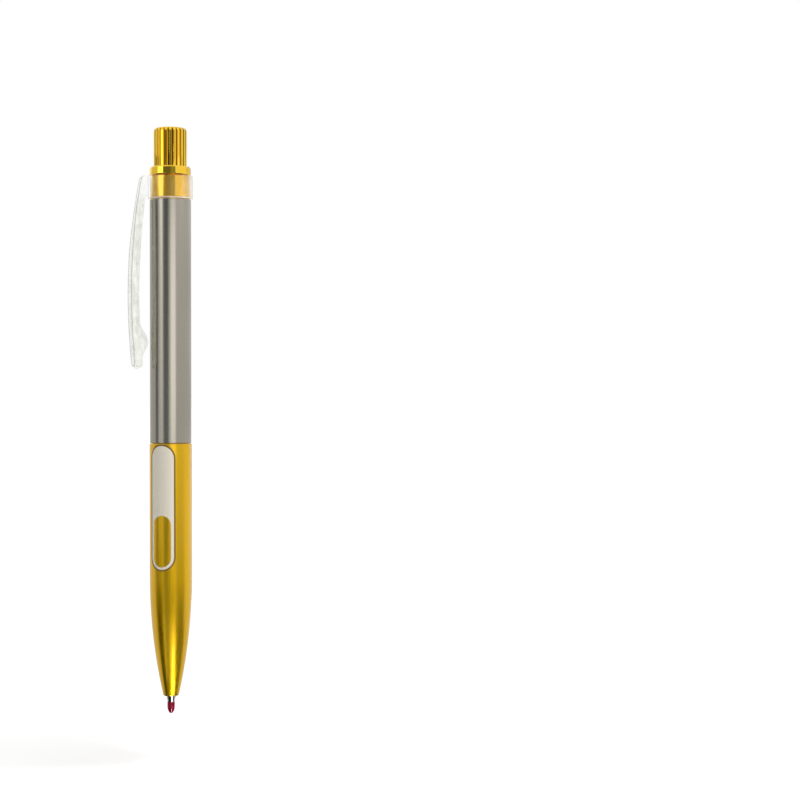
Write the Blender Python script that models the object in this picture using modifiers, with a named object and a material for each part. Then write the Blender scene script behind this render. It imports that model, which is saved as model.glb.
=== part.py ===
"""Twist gel pen, upright on its writing end, as separate pieces.

The pen's axis is +Z and the clip points to -X. Heights run up from the end of the seal drop,
with the tip out. Turning the knob half a turn draws the refill in.
"""
import math

import bmesh
import bpy

# Outside of the pen, in metres.
TIP_REACH = 0.0042
GRIP_LENGTH = 0.0602
GRIP_DIAMETER = 0.0100
NOSE_LENGTH = 0.0281
NOSE_MOUTH_DIAMETER = 0.0036
NOSE_LIP_RADIUS = 0.0003
UPPER_LENGTH = 0.0581
UPPER_DIAMETER = 0.0098
UPPER_WALL = 0.0005
COLLAR_STEP = 0.00017
COLLAR_SPIGOT_LENGTH = 0.0040
FLANGE_HEIGHT = 0.0020
FLANGE_TOP_EDGE = 0.0003
FLANGE_EDGE = 0.0002
KNOB_DIAMETER = 0.0079
KNOB_HEIGHT = 0.00935
KNOB_EDGE_RADIUS = 0.0010
FLUTE_COUNT = 24
FLUTE_DEPTH = 0.0003
FLUTE_FILL = 0.92
FLUTE_FOOT = 0.0001

# Clip: a ring round the collar and a bowed arm. Stand-offs are measured from the barrel's side.
CLIP_RING_HEIGHT = 0.0056
CLIP_RING_WALL = 0.0005
CLIP_LENGTH = 0.0460
CLIP_ROOT_DROP = 0.0001
CLIP_CREST_DROP = 0.0282
CLIP_ROOT_STAND_OFF = 0.0023
CLIP_CREST_STAND_OFF = 0.00505
CLIP_END_STAND_OFF = 0.0041
CLIP_THICKNESS = 0.0020
CLIP_WIDTH = 0.0042
CLIP_ROOT_WIDTH = 0.0024
CLIP_FLARE_LENGTH = 0.0135
CLIP_PAD_FROM_END = 0.0066
CLIP_PAD_LENGTH = 0.0090
CLIP_PAD_GAP = 0.00085

# Joint between the two barrels.
COUPLING_SOCKET_LENGTH = 0.0090
COUPLING_SPIGOT_LENGTH = 0.0065
THREAD_PITCH = 0.0010
THREAD_TURNS = 3
THREAD_HEIGHT = 0.0002
THREAD_START = 0.0010
THREAD_RUN_OUT = 0.0005

# Twist mechanism in the top of the upper barrel.
DRAW_IN_DEPTH = 0.0018
TWIST_TURNS = 0.5
SPINDLE_DIAMETER = 0.0030
SPINDLE_KNOB_DEPTH = 0.0060
SLEEVE_WALL = 0.0006
ROTOR_WALL = 0.0006
ROTOR_CROWN = 0.0018
PIN_DIAMETER = 0.0012
PIN_BRIDGE = 0.0012
RETAINER_THICKNESS = 0.0006
RETAINER_LEDGE = 0.0004
RETAINER_BITE = 0.00025
RETAINER_GAP_WIDTH = 0.0016
DRAG_RING_SECTION = 0.0008
FOLLOWER_FOOT_HEIGHT = 0.0030
FOLLOWER_FOOT_STEP = 0.0005

# Refill.
TUBE_DIAMETER = 0.0061
TUBE_WALL = 0.0006
TUBE_CLEARANCE = 0.00025
TAIL_HEAD_HEIGHT = 0.0010
TAIL_PLUG_LENGTH = 0.0040
TAIL_VENT_DIAMETER = 0.0008
INK_LENGTH = 0.0400
INK_FOLLOWER_LENGTH = 0.0050
HOLDER_NOSE_DIAMETER = 0.0034
HOLDER_FLOOR_GAP = 0.0003
HOLDER_SHOULDER_HEIGHT = 0.0020
HOLDER_PLUG_LENGTH = 0.0064
HOLDER_CHANNEL_DIAMETER = 0.0012
TIP_SHANK_DIAMETER = 0.0023
TIP_CONE_LENGTH = 0.0043
TIP_SEAT_LENGTH = 0.0047
TIP_FRONT_DIAMETER = 0.00072
TIP_BORE_DIAMETER = 0.0011
TIP_FEED_DIAMETER = 0.0003
TIP_FEED_LENGTH = 0.0010
BALL_DIAMETER = 0.0005
BALL_GAP = 0.00005
BALL_SHOW = 0.0001
SEAL_LENGTH = 0.0027
SEAL_DIAMETER = 0.00178
SEAL_BELLY_HEIGHT = 0.0023
SEAL_CAP = 0.00055
SEAL_GAP = 0.00006

# Return spring, squeezed while the tip is out.
GUIDE_LENGTH = 0.0088
SPRING_LENGTH = 0.0096
SPRING_WIRE_DIAMETER = 0.0004
SPRING_TURNS = 8
SPRING_CLEARANCE = 0.0002

# Fits: SEAT_GAP between seated pieces, RUN_GAP where one turns or slides in another. Cutters reach
# past what they cut by CUT_PAST.
SEAT_GAP = 0.0001
RUN_GAP = 0.00012
CUT_PAST = 0.0030

# Fineness of the round shapes.
TURN_STEPS = 32
FINE_STEPS = 24
NOSE_STEPS = 12
EDGE_STEPS = 4
CLIP_STEPS = 10
HELIX_POINTS = 20
SPRING_POINTS = 10
HELIX_SIDES = 1
MERGE = 1e-6

# Radii that follow from the sizes.
GRIP_RADIUS = GRIP_DIAMETER / 2
UPPER_RADIUS = UPPER_DIAMETER / 2
UPPER_BORE = UPPER_RADIUS - UPPER_WALL
COLLAR_RADIUS = UPPER_RADIUS - COLLAR_STEP
RING_BORE = COLLAR_RADIUS + SEAT_GAP
RING_RADIUS = RING_BORE + CLIP_RING_WALL
KNOB_RADIUS = KNOB_DIAMETER / 2
SPINDLE_RADIUS = SPINDLE_DIAMETER / 2
SLEEVE_RADIUS = UPPER_BORE - SEAT_GAP
SLEEVE_BORE = SLEEVE_RADIUS - SLEEVE_WALL
ROTOR_RADIUS = SLEEVE_BORE - RUN_GAP
ROTOR_BORE = ROTOR_RADIUS - ROTOR_WALL
FOLLOWER_RADIUS = ROTOR_BORE - RUN_GAP
PIN_RADIUS = PIN_DIAMETER / 2
SLOT_HALF_WIDTH = PIN_RADIUS + RUN_GAP
TUBE_RADIUS = TUBE_DIAMETER / 2
TUBE_BORE = TUBE_RADIUS - TUBE_WALL
PLUG_RADIUS = TUBE_BORE - SEAT_GAP
REFILL_PASSAGE = TUBE_RADIUS + TUBE_CLEARANCE
THREAD_BORE = (REFILL_PASSAGE + GRIP_RADIUS) / 2
SPIGOT_RADIUS = THREAD_BORE - RUN_GAP
HOLDER_NOSE_RADIUS = HOLDER_NOSE_DIAMETER / 2
TIP_SHANK_RADIUS = TIP_SHANK_DIAMETER / 2
TIP_PASSAGE = TIP_SHANK_RADIUS + RUN_GAP
WIRE_RADIUS = SPRING_WIRE_DIAMETER / 2
SPRING_RADIUS = HOLDER_NOSE_RADIUS + SPRING_CLEARANCE + WIRE_RADIUS
SPRING_POCKET = SPRING_RADIUS + WIRE_RADIUS + SPRING_CLEARANCE
BALL_RADIUS = BALL_DIAMETER / 2

# Heights that follow from the sizes, from the writing end up.
BALL_CENTRE = SEAL_CAP + BALL_RADIUS
TIP_FRONT = SEAL_CAP + BALL_SHOW
CONE_TOP = TIP_FRONT + TIP_CONE_LENGTH
MOUTH = TIP_REACH
POCKET_FLOOR = MOUTH + GUIDE_LENGTH
HOLDER_FRONT = POCKET_FLOOR + HOLDER_FLOOR_GAP
TIP_TOP = HOLDER_FRONT + TIP_SEAT_LENGTH
SHOULDER = POCKET_FLOOR + SPRING_LENGTH
POCKET_TOP = SHOULDER - SPRING_WIRE_DIAMETER
HOLDER_PLUG = SHOULDER + HOLDER_SHOULDER_HEIGHT
TUBE_BOTTOM = HOLDER_PLUG + SEAT_GAP
HOLDER_TOP = HOLDER_PLUG + HOLDER_PLUG_LENGTH
NOSE_TOP = MOUTH + NOSE_LENGTH
SEAM = MOUTH + GRIP_LENGTH
UPPER_BOTTOM = SEAM + SEAT_GAP
UPPER_TOP = UPPER_BOTTOM + UPPER_LENGTH
RING_BOTTOM = UPPER_TOP + SEAT_GAP
RING_TOP = RING_BOTTOM + CLIP_RING_HEIGHT
FLANGE_BOTTOM = RING_TOP + SEAT_GAP
FLANGE_TOP = FLANGE_BOTTOM + FLANGE_HEIGHT
FLUTES_BOTTOM = FLANGE_TOP + FLUTE_FOOT
KNOB_TOP = FLANGE_TOP + KNOB_HEIGHT

# Heights of the mechanism, from the collar down.
STROKE = TIP_REACH + DRAW_IN_DEPTH
COLLAR_BOTTOM = UPPER_TOP - COLLAR_SPIGOT_LENGTH
SLEEVE_TOP = COLLAR_BOTTOM - SEAT_GAP
ROTOR_TOP = SLEEVE_TOP - RUN_GAP
CROWN_BOTTOM = ROTOR_TOP - ROTOR_CROWN
FOLLOWER_TOP = CROWN_BOTTOM - STROKE - PIN_BRIDGE
PIN_HEIGHT = FOLLOWER_TOP - PIN_BRIDGE
ROTOR_BOTTOM = PIN_HEIGHT - SLOT_HALF_WIDTH - PIN_BRIDGE
RETAINER_TOP = ROTOR_BOTTOM - RUN_GAP
RETAINER_BOTTOM = RETAINER_TOP - RETAINER_THICKNESS
SLEEVE_BOTTOM = RETAINER_BOTTOM - RETAINER_LEDGE
TAIL_TOP = SLEEVE_BOTTOM - STROKE - RUN_GAP
FOLLOWER_BOTTOM = TAIL_TOP + SEAT_GAP
TUBE_TOP = TAIL_TOP - TAIL_HEAD_HEIGHT - SEAT_GAP
SPINDLE_TOP = FLANGE_BOTTOM + SPINDLE_KNOB_DEPTH
DRAG_RING_HEIGHT = (RING_BOTTOM + RING_TOP) / 2

# Heights of the thread and the clip.
THREAD_TOP = SEAM - THREAD_START
THREAD_BOTTOM = THREAD_TOP - THREAD_TURNS * THREAD_PITCH
SPIGOT_BOTTOM = SEAM - COUPLING_SPIGOT_LENGTH
CLIP_TOP = RING_TOP - CLIP_ROOT_DROP
CLIP_BOTTOM = CLIP_TOP - CLIP_LENGTH
CLIP_CREST = CLIP_TOP - CLIP_CREST_DROP
CLIP_PAD = CLIP_BOTTOM + CLIP_PAD_FROM_END


def clear_scene():
    for item in list(bpy.data.objects):
        bpy.data.objects.remove(item, do_unlink=True)


def new_collection(name):
    collection = bpy.data.collections.new(name)
    bpy.context.scene.collection.children.link(collection)
    return collection


def finish(name, colour, roughness, metallic, transmission=0.0):
    """A material from a linear colour and the surface's gloss."""
    material = bpy.data.materials.new(name)
    material.use_nodes = True
    shader = material.node_tree.nodes["Principled BSDF"]
    shader.inputs["Base Color"].default_value = (*colour, 1.0)
    shader.inputs["Roughness"].default_value = roughness
    shader.inputs["Metallic"].default_value = metallic
    shader.inputs["Transmission Weight"].default_value = transmission
    return material


def arc(centre_radius, centre_height, radius, start, end, steps):
    """Points of an arc in the radius and height plane, angles in degrees from outwards."""
    points = []
    for step in range(steps + 1):
        angle = math.radians(start + (end - start) * step / steps)
        points.append((centre_radius + radius * math.cos(angle), centre_height + radius * math.sin(angle)))
    return points


def place(item, collection, parent=None):
    collection.objects.link(item)
    item.parent = parent
    return item


def as_cutter(item):
    item.hide_render = True
    item.display_type = "WIRE"
    return item


def turned(name, profile, collection, parent=None, steps=TURN_STEPS):
    """Body turned about the axis from (radius, height) points that run down its outer side."""
    mesh = bpy.data.meshes.new(name)
    count = len(profile)
    edges = [(index, index + 1) for index in range(count - 1)]
    if profile[0][0] > 0:
        edges.append((count - 1, 0))
    mesh.from_pydata([(radius, 0, height) for radius, height in profile], edges, [])
    item = place(bpy.data.objects.new(name, mesh), collection, parent)
    screw = item.modifiers.new("turn", "SCREW")
    screw.steps = steps
    screw.render_steps = steps
    screw.use_merge_vertices = True
    screw.merge_threshold = MERGE
    screw.use_smooth_shade = True
    return item


def solid_from_curve(item, collection, parent=None):
    """Mesh object with welded caps in place of a curve object."""
    name = item.name
    bpy.context.view_layer.update()
    graph = bpy.context.evaluated_depsgraph_get()
    mesh = bpy.data.meshes.new_from_object(item.evaluated_get(graph))
    work = bmesh.new()
    work.from_mesh(mesh)
    bmesh.ops.remove_doubles(work, verts=work.verts, dist=MERGE / 10)
    bmesh.ops.recalc_face_normals(work, faces=work.faces)
    work.to_mesh(mesh)
    work.free()
    matrix = item.matrix_world.copy()
    bpy.data.objects.remove(item, do_unlink=True)
    solid = place(bpy.data.objects.new(name, mesh), collection, parent)
    solid.matrix_world = matrix
    return solid


def tube_along(name, points, radius, collection, parent=None):
    """Round tube through points, made a solid."""
    curve = bpy.data.curves.new(name, "CURVE")
    curve.dimensions = "3D"
    curve.bevel_depth = radius
    curve.bevel_resolution = HELIX_SIDES
    curve.use_fill_caps = True
    spline = curve.splines.new("POLY")
    spline.points.add(len(points) - 1)
    for target, point in zip(spline.points, points):
        target.co = (*point, 1.0)
    item = place(bpy.data.objects.new(name, curve), collection)
    return solid_from_curve(item, collection, parent)


def helix(radius, bottom, top, turn_height, points_per_turn, start_turn=0.0):
    """Points of a right-hand helix; start_turn is the turn it has made at the bottom."""
    turns = (top - bottom) / turn_height
    count = max(2, round(turns * points_per_turn))
    points = []
    for step in range(count + 1):
        angle = 2 * math.pi * (start_turn + turns * step / count)
        height = bottom + (top - bottom) * step / count
        points.append((radius * math.cos(angle), radius * math.sin(angle), height))
    return points


def outline_plate(name, outline, half_thickness, turn, collection, parent=None):
    """Flat outline of (across, height) points, stood upright, turned about Z and given thickness."""
    curve = bpy.data.curves.new(name, "CURVE")
    curve.dimensions = "2D"
    curve.fill_mode = "BOTH"
    curve.extrude = half_thickness
    spline = curve.splines.new("POLY")
    spline.points.add(len(outline) - 1)
    for target, (across, height) in zip(spline.points, outline):
        target.co = (across, height, 0.0, 1.0)
    spline.use_cyclic_u = True
    item = place(bpy.data.objects.new(name, curve), collection)
    item.rotation_euler = (math.pi / 2, 0.0, turn)
    return solid_from_curve(item, collection, parent)


def rod(name, radius, length, rotation, height, collection, parent=None, steps=FINE_STEPS):
    """Round rod centred on the axis at a height, turned from upright by rotation."""
    mesh = bpy.data.meshes.new(name)
    work = bmesh.new()
    bmesh.ops.create_cone(work, cap_ends=True, segments=steps, radius1=radius, radius2=radius, depth=length)
    work.to_mesh(mesh)
    work.free()
    item = place(bpy.data.objects.new(name, mesh), collection, parent)
    item.rotation_euler = rotation
    item.location = (0.0, 0.0, height)
    return item


def block(name, size, centre, collection):
    """Box for cutting, given by its size and centre."""
    mesh = bpy.data.meshes.new(name)
    work = bmesh.new()
    bmesh.ops.create_cube(work, size=1.0)
    bmesh.ops.scale(work, vec=size, verts=work.verts)
    work.to_mesh(mesh)
    work.free()
    item = place(bpy.data.objects.new(name, mesh), collection)
    item.location = centre
    return as_cutter(item)


def combine(item, other, operation):
    boolean = item.modifiers.new(other.name, "BOOLEAN")
    boolean.operation = operation
    boolean.object = other
    boolean.solver = "EXACT"


def nose_radius(height):
    """Outer radius of the lower barrel: one arc, tangent to the grip, from there to the mouth."""
    drop = GRIP_RADIUS - NOSE_MOUTH_DIAMETER / 2
    curve_radius = (NOSE_LENGTH ** 2 + drop ** 2) / (2 * drop)
    below = max(0.0, NOSE_TOP - height)
    return GRIP_RADIUS - (curve_radius - math.sqrt(curve_radius ** 2 - below ** 2))


def make_lower_barrel(parts, cutters, parent):
    lip_top = MOUTH + NOSE_LIP_RADIUS
    outer = [(GRIP_RADIUS, SEAM)]
    for step in range(NOSE_STEPS + 1):
        height = NOSE_TOP + (lip_top - NOSE_TOP) * step / NOSE_STEPS
        outer.append((nose_radius(height), height))
    lip_centre = nose_radius(lip_top) - NOSE_LIP_RADIUS
    lip = arc(lip_centre, lip_top, NOSE_LIP_RADIUS, 0, -90, EDGE_STEPS)[1:]
    inner = [
        (TIP_PASSAGE, MOUTH),
        (TIP_PASSAGE, POCKET_FLOOR),
        (SPRING_POCKET, POCKET_FLOOR),
        (SPRING_POCKET, POCKET_TOP),
        (REFILL_PASSAGE, POCKET_TOP),
        (REFILL_PASSAGE, SPIGOT_BOTTOM - SEAT_GAP),
        (THREAD_BORE, SPIGOT_BOTTOM - SEAT_GAP),
        (THREAD_BORE, SEAM),
    ]
    barrel = turned("lower_barrel", outer + lip + inner, parts, parent)
    groove_bottom = THREAD_BOTTOM - THREAD_RUN_OUT
    path = helix(SPIGOT_RADIUS, groove_bottom, SEAM + THREAD_PITCH, THREAD_PITCH, HELIX_POINTS,
                 (groove_bottom - THREAD_BOTTOM) / THREAD_PITCH)
    groove = as_cutter(tube_along("thread_groove", path, THREAD_HEIGHT + RUN_GAP, cutters))
    combine(barrel, groove, "DIFFERENCE")
    return barrel


def make_upper_barrel(parts, parent):
    return turned("upper_barrel", [
        (UPPER_RADIUS, UPPER_TOP),
        (UPPER_RADIUS, UPPER_BOTTOM),
        (UPPER_BORE, UPPER_BOTTOM),
        (UPPER_BORE, UPPER_TOP),
    ], parts, parent)


def make_barrel_coupling(parts, cutters, parent):
    """Bush pressed into the upper barrel, with a thread that the lower barrel screws on to."""
    socket_radius = UPPER_BORE - SEAT_GAP
    socket_top = UPPER_BOTTOM + COUPLING_SOCKET_LENGTH
    coupling = turned("barrel_coupling", [
        (socket_radius, socket_top),
        (socket_radius, UPPER_BOTTOM),
        (SPIGOT_RADIUS, UPPER_BOTTOM),
        (SPIGOT_RADIUS, SPIGOT_BOTTOM),
        (REFILL_PASSAGE, SPIGOT_BOTTOM),
        (REFILL_PASSAGE, socket_top),
    ], parts, parent)
    path = helix(SPIGOT_RADIUS, THREAD_BOTTOM, THREAD_TOP, THREAD_PITCH, HELIX_POINTS)
    ridge = as_cutter(tube_along("thread_ridge", path, THREAD_HEIGHT, cutters))
    combine(coupling, ridge, "UNION")
    return coupling


def make_clip_collar(parts, parent):
    """Collar inside the clip's ring, with a groove for the drag ring and a spigot in the barrel."""
    bore = SPINDLE_RADIUS + RUN_GAP
    groove = SPINDLE_RADIUS + DRAG_RING_SECTION + 2 * SEAT_GAP
    groove_half = DRAG_RING_SECTION / 2 + SEAT_GAP
    return turned("clip_collar", [
        (COLLAR_RADIUS, RING_TOP),
        (COLLAR_RADIUS, RING_BOTTOM),
        (SLEEVE_RADIUS, RING_BOTTOM),
        (SLEEVE_RADIUS, COLLAR_BOTTOM),
        (bore, COLLAR_BOTTOM),
        (bore, DRAG_RING_HEIGHT - groove_half),
        (groove, DRAG_RING_HEIGHT - groove_half),
        (groove, DRAG_RING_HEIGHT + groove_half),
        (bore, DRAG_RING_HEIGHT + groove_half),
        (bore, RING_TOP),
    ], parts, parent)


def clip_reach(height):
    """Distance from the axis to the clip's outer face, which bows out to a crest."""
    crest = UPPER_RADIUS + CLIP_CREST_STAND_OFF
    if height > CLIP_CREST:
        share = (height - CLIP_CREST) / (CLIP_TOP - CLIP_CREST)
        return crest - (CLIP_CREST_STAND_OFF - CLIP_ROOT_STAND_OFF) * share ** 2
    share = (CLIP_CREST - height) / (CLIP_CREST - CLIP_BOTTOM)
    return crest - (CLIP_CREST_STAND_OFF - CLIP_END_STAND_OFF) * share ** 2


def clip_inner_face(height):
    """Distance from the axis to the clip's inner face, with the pad swelling towards the barrel."""
    pad_rise = clip_reach(CLIP_PAD) - CLIP_THICKNESS - UPPER_RADIUS - CLIP_PAD_GAP
    from_pad = abs(height - CLIP_PAD) / (CLIP_PAD_LENGTH / 2)
    swell = 0.5 + 0.5 * math.cos(math.pi * min(1.0, from_pad))
    return clip_reach(height) - CLIP_THICKNESS - pad_rise * swell


def clip_half_width(height):
    """Half the clip's width: narrow at the root, easing out to full width below the ring."""
    share = min(1.0, max(0.0, (RING_BOTTOM - height) / CLIP_FLARE_LENGTH))
    ease = share * share * (3 - 2 * share)
    return (CLIP_ROOT_WIDTH + (CLIP_WIDTH - CLIP_ROOT_WIDTH) * ease) / 2


def spread(start, end, steps):
    return [start + (end - start) * step / steps for step in range(steps + 1)]


def clip_side_outline():
    """Clip's arm from the side: the bowed outer face, a round end and the inner face with its pad."""
    root = RING_BORE + CLIP_RING_WALL / 2
    end_radius = CLIP_THICKNESS / 2
    end_height = CLIP_BOTTOM + end_radius
    pad_top = CLIP_PAD + CLIP_PAD_LENGTH / 2
    outer = spread(CLIP_TOP, CLIP_CREST, CLIP_STEPS) + spread(CLIP_CREST, end_height, CLIP_STEPS)[1:]
    inner = spread(end_height, pad_top, 2 * CLIP_STEPS)[1:] + spread(pad_top, RING_BOTTOM, CLIP_STEPS)[1:]
    end_centre = clip_reach(end_height) - end_radius
    outline = [(-root, CLIP_TOP)]
    outline += [(-clip_reach(height), height) for height in outer]
    outline += [(-across, height) for across, height in
                arc(end_centre, end_height, end_radius, 0, -180, 2 * EDGE_STEPS)[1:]]
    outline += [(-clip_inner_face(height), height) for height in inner]
    outline.append((-root, RING_BOTTOM))
    return outline


def clip_front_outline():
    """Clip's arm from the front: the narrow root, the flare and a round end."""
    full = CLIP_WIDTH / 2
    flare_bottom = RING_BOTTOM - CLIP_FLARE_LENGTH
    heights = spread(RING_TOP, RING_BOTTOM, 1) + spread(RING_BOTTOM, flare_bottom, CLIP_STEPS)[1:]
    side = [(clip_half_width(height), height) for height in heights]
    end = arc(0.0, CLIP_BOTTOM + full, full, 0, -180, 4 * EDGE_STEPS)
    return side + end + [(-across, height) for across, height in reversed(side)]


def make_clip(parts, cutters, parent):
    """Ring and bowed arm, moulded in one piece."""
    clip = outline_plate("clip", clip_side_outline(), CLIP_WIDTH / 2 + CUT_PAST, 0.0, parts, parent)
    reach = UPPER_RADIUS + CLIP_CREST_STAND_OFF + CUT_PAST
    front = as_cutter(outline_plate("clip_front", clip_front_outline(), reach, math.pi / 2, cutters))
    ring = as_cutter(turned("clip_ring", [
        (RING_RADIUS, RING_TOP),
        (RING_RADIUS, RING_BOTTOM),
        (RING_BORE, RING_BOTTOM),
        (RING_BORE, RING_TOP),
    ], cutters))
    combine(clip, front, "INTERSECT")
    combine(clip, ring, "UNION")
    return clip


def make_twist_knob(parts, cutters, parent):
    """Fluted knob with a smooth flange, bored from below for the spindle."""
    bore = SPINDLE_RADIUS + SEAT_GAP
    bore_top = SPINDLE_TOP + SEAT_GAP
    edge_centre = (KNOB_RADIUS - KNOB_EDGE_RADIUS, KNOB_TOP - KNOB_EDGE_RADIUS)
    edge = arc(*edge_centre, KNOB_EDGE_RADIUS, 90, 0, EDGE_STEPS)
    knob = turned("twist_knob", [(0.0, KNOB_TOP)] + edge + [
        (KNOB_RADIUS, FLANGE_TOP),
        (UPPER_RADIUS - FLANGE_TOP_EDGE, FLANGE_TOP),
        (UPPER_RADIUS, FLANGE_TOP - FLANGE_TOP_EDGE),
        (UPPER_RADIUS, FLANGE_BOTTOM + FLANGE_EDGE),
        (UPPER_RADIUS - FLANGE_EDGE, FLANGE_BOTTOM),
        (bore, FLANGE_BOTTOM),
        (bore, bore_top),
        (0.0, bore_top),
    ], parts, parent, 2 * FLUTE_COUNT)
    combine(knob, make_flutes(cutters), "DIFFERENCE")
    return knob


def make_flutes(cutters):
    """Round cutters that stand in a circle, one to each flute, and miss each other."""
    pitch = 2 * math.pi * KNOB_RADIUS / FLUTE_COUNT
    radius = FLUTE_FILL * pitch / 2
    length = KNOB_HEIGHT + CUT_PAST
    circle = KNOB_RADIUS + radius - FLUTE_DEPTH
    mesh = bpy.data.meshes.new("flutes")
    work = bmesh.new()
    for index in range(FLUTE_COUNT):
        angle = 2 * math.pi * index / FLUTE_COUNT
        made = bmesh.ops.create_cone(
            work, cap_ends=True, segments=3 * EDGE_STEPS, radius1=radius, radius2=radius, depth=length)
        shift = (circle * math.cos(angle), circle * math.sin(angle), FLUTES_BOTTOM + length / 2)
        bmesh.ops.translate(work, vec=shift, verts=made["verts"])
    work.to_mesh(mesh)
    work.free()
    return as_cutter(place(bpy.data.objects.new("flutes", mesh), cutters))


def make_knob_spindle(parts, parent):
    return turned("knob_spindle", [
        (0.0, SPINDLE_TOP),
        (SPINDLE_RADIUS, SPINDLE_TOP),
        (SPINDLE_RADIUS, CROWN_BOTTOM),
        (0.0, CROWN_BOTTOM),
    ], parts, parent)


def make_drag_ring(parts, parent):
    section = DRAG_RING_SECTION / 2
    centre = SPINDLE_RADIUS + SEAT_GAP + section
    profile = arc(centre, DRAG_RING_HEIGHT, section, 90, -270, 2 * EDGE_STEPS)[:-1]
    return turned("drag_ring", profile, parts, parent, FINE_STEPS)


def make_guide_sleeve(parts, cutters, parent):
    """Fixed sleeve with a straight slot on each side and a groove for the retaining ring."""
    groove = SLEEVE_BORE + RETAINER_BITE
    sleeve = turned("guide_sleeve", [
        (SLEEVE_RADIUS, SLEEVE_TOP),
        (SLEEVE_RADIUS, SLEEVE_BOTTOM),
        (SLEEVE_BORE, SLEEVE_BOTTOM),
        (SLEEVE_BORE, RETAINER_BOTTOM - RUN_GAP),
        (groove, RETAINER_BOTTOM - RUN_GAP),
        (groove, RETAINER_TOP + RUN_GAP),
        (SLEEVE_BORE, RETAINER_TOP + RUN_GAP),
        (SLEEVE_BORE, SLEEVE_TOP),
    ], parts, parent)
    size = (2 * SLEEVE_RADIUS + CUT_PAST, 2 * SLOT_HALF_WIDTH, STROKE + 2 * SLOT_HALF_WIDTH)
    slots = block("guide_slots", size, (0.0, 0.0, PIN_HEIGHT + STROKE / 2), cutters)
    combine(sleeve, slots, "DIFFERENCE")
    return sleeve


def make_cam_rotor(parts, cutters, parent):
    """Turning sleeve with a crown on the spindle and two opposite helical slots."""
    rotor = turned("cam_rotor", [
        (ROTOR_RADIUS, ROTOR_TOP),
        (ROTOR_RADIUS, ROTOR_BOTTOM),
        (ROTOR_BORE, ROTOR_BOTTOM),
        (ROTOR_BORE, CROWN_BOTTOM),
        (SPINDLE_RADIUS + SEAT_GAP, CROWN_BOTTOM),
        (SPINDLE_RADIUS + SEAT_GAP, ROTOR_TOP),
    ], parts, parent)
    wall_middle = (ROTOR_RADIUS + ROTOR_BORE) / 2
    cut_radius = math.hypot(SLOT_HALF_WIDTH + RUN_GAP, ROTOR_WALL / 2)
    rise = STROKE / TWIST_TURNS
    overrun = (SLOT_HALF_WIDTH + RUN_GAP) / math.hypot(2 * math.pi * wall_middle, rise)
    bottom = PIN_HEIGHT - overrun * rise
    top = PIN_HEIGHT + STROKE + overrun * rise
    for index, side in enumerate((0.0, 0.5)):
        path = helix(wall_middle, bottom, top, rise, HELIX_POINTS, side - overrun)
        path = [(x, -y, height) for x, y, height in path]
        slot = as_cutter(tube_along(f"rotor_slot_{index + 1}", path, cut_radius, cutters))
        combine(rotor, slot, "DIFFERENCE")
    return rotor


def make_retaining_ring(parts, cutters, parent):
    """Split ring under the rotor, sprung into the sleeve's groove."""
    outer = SLEEVE_BORE + RETAINER_BITE - SEAT_GAP
    inner = FOLLOWER_RADIUS + 2 * RUN_GAP
    ring = turned("retaining_ring", [
        (outer, RETAINER_TOP),
        (outer, RETAINER_BOTTOM),
        (inner, RETAINER_BOTTOM),
        (inner, RETAINER_TOP),
    ], parts, parent, FINE_STEPS)
    middle = (outer + inner) / 2
    size = (outer - inner + CUT_PAST, RETAINER_GAP_WIDTH, RETAINER_THICKNESS + CUT_PAST)
    split = block("retainer_split", size, (middle, 0.0, RETAINER_TOP - RETAINER_THICKNESS / 2), cutters)
    combine(ring, split, "DIFFERENCE")
    return ring


def make_follower(parts, cutters, parent):
    """Slider on the refill's tail, drilled across for the pin."""
    foot_radius = FOLLOWER_RADIUS - FOLLOWER_FOOT_STEP
    foot_top = FOLLOWER_BOTTOM + FOLLOWER_FOOT_HEIGHT
    follower = turned("follower", [
        (0.0, FOLLOWER_TOP),
        (FOLLOWER_RADIUS, FOLLOWER_TOP),
        (FOLLOWER_RADIUS, foot_top),
        (foot_radius, foot_top - FOLLOWER_FOOT_STEP),
        (foot_radius, FOLLOWER_BOTTOM),
        (0.0, FOLLOWER_BOTTOM),
    ], parts, parent, FINE_STEPS)
    across = (0.0, math.pi / 2, 0.0)
    length = 2 * FOLLOWER_RADIUS + CUT_PAST
    hole = as_cutter(rod("pin_hole", PIN_RADIUS + SEAT_GAP, length, across, PIN_HEIGHT, cutters))
    combine(follower, hole, "DIFFERENCE")
    return follower


def make_cross_pin(parts, parent):
    length = 2 * (SLEEVE_RADIUS - SEAT_GAP)
    return rod("cross_pin", PIN_RADIUS, length, (0.0, math.pi / 2, 0.0), PIN_HEIGHT, parts, parent)


def make_refill_tail_plug(parts, parent):
    vent = TAIL_VENT_DIAMETER / 2
    head_bottom = TAIL_TOP - TAIL_HEAD_HEIGHT
    return turned("refill_tail_plug", [
        (TUBE_RADIUS, TAIL_TOP),
        (TUBE_RADIUS, head_bottom),
        (PLUG_RADIUS, head_bottom),
        (PLUG_RADIUS, head_bottom - TAIL_PLUG_LENGTH),
        (vent, head_bottom - TAIL_PLUG_LENGTH),
        (vent, TAIL_TOP),
    ], parts, parent, FINE_STEPS)


def make_refill_tube(parts, parent):
    return turned("refill_tube", [
        (TUBE_RADIUS, TUBE_TOP),
        (TUBE_RADIUS, TUBE_BOTTOM),
        (TUBE_BORE, TUBE_BOTTOM),
        (TUBE_BORE, TUBE_TOP),
    ], parts, parent, FINE_STEPS)


def make_column(name, bottom, length, parts, parent):
    """Column of ink or grease that fills the tube's bore."""
    return turned(name, [
        (0.0, bottom + length),
        (PLUG_RADIUS, bottom + length),
        (PLUG_RADIUS, bottom),
        (0.0, bottom),
    ], parts, parent, FINE_STEPS)


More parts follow.
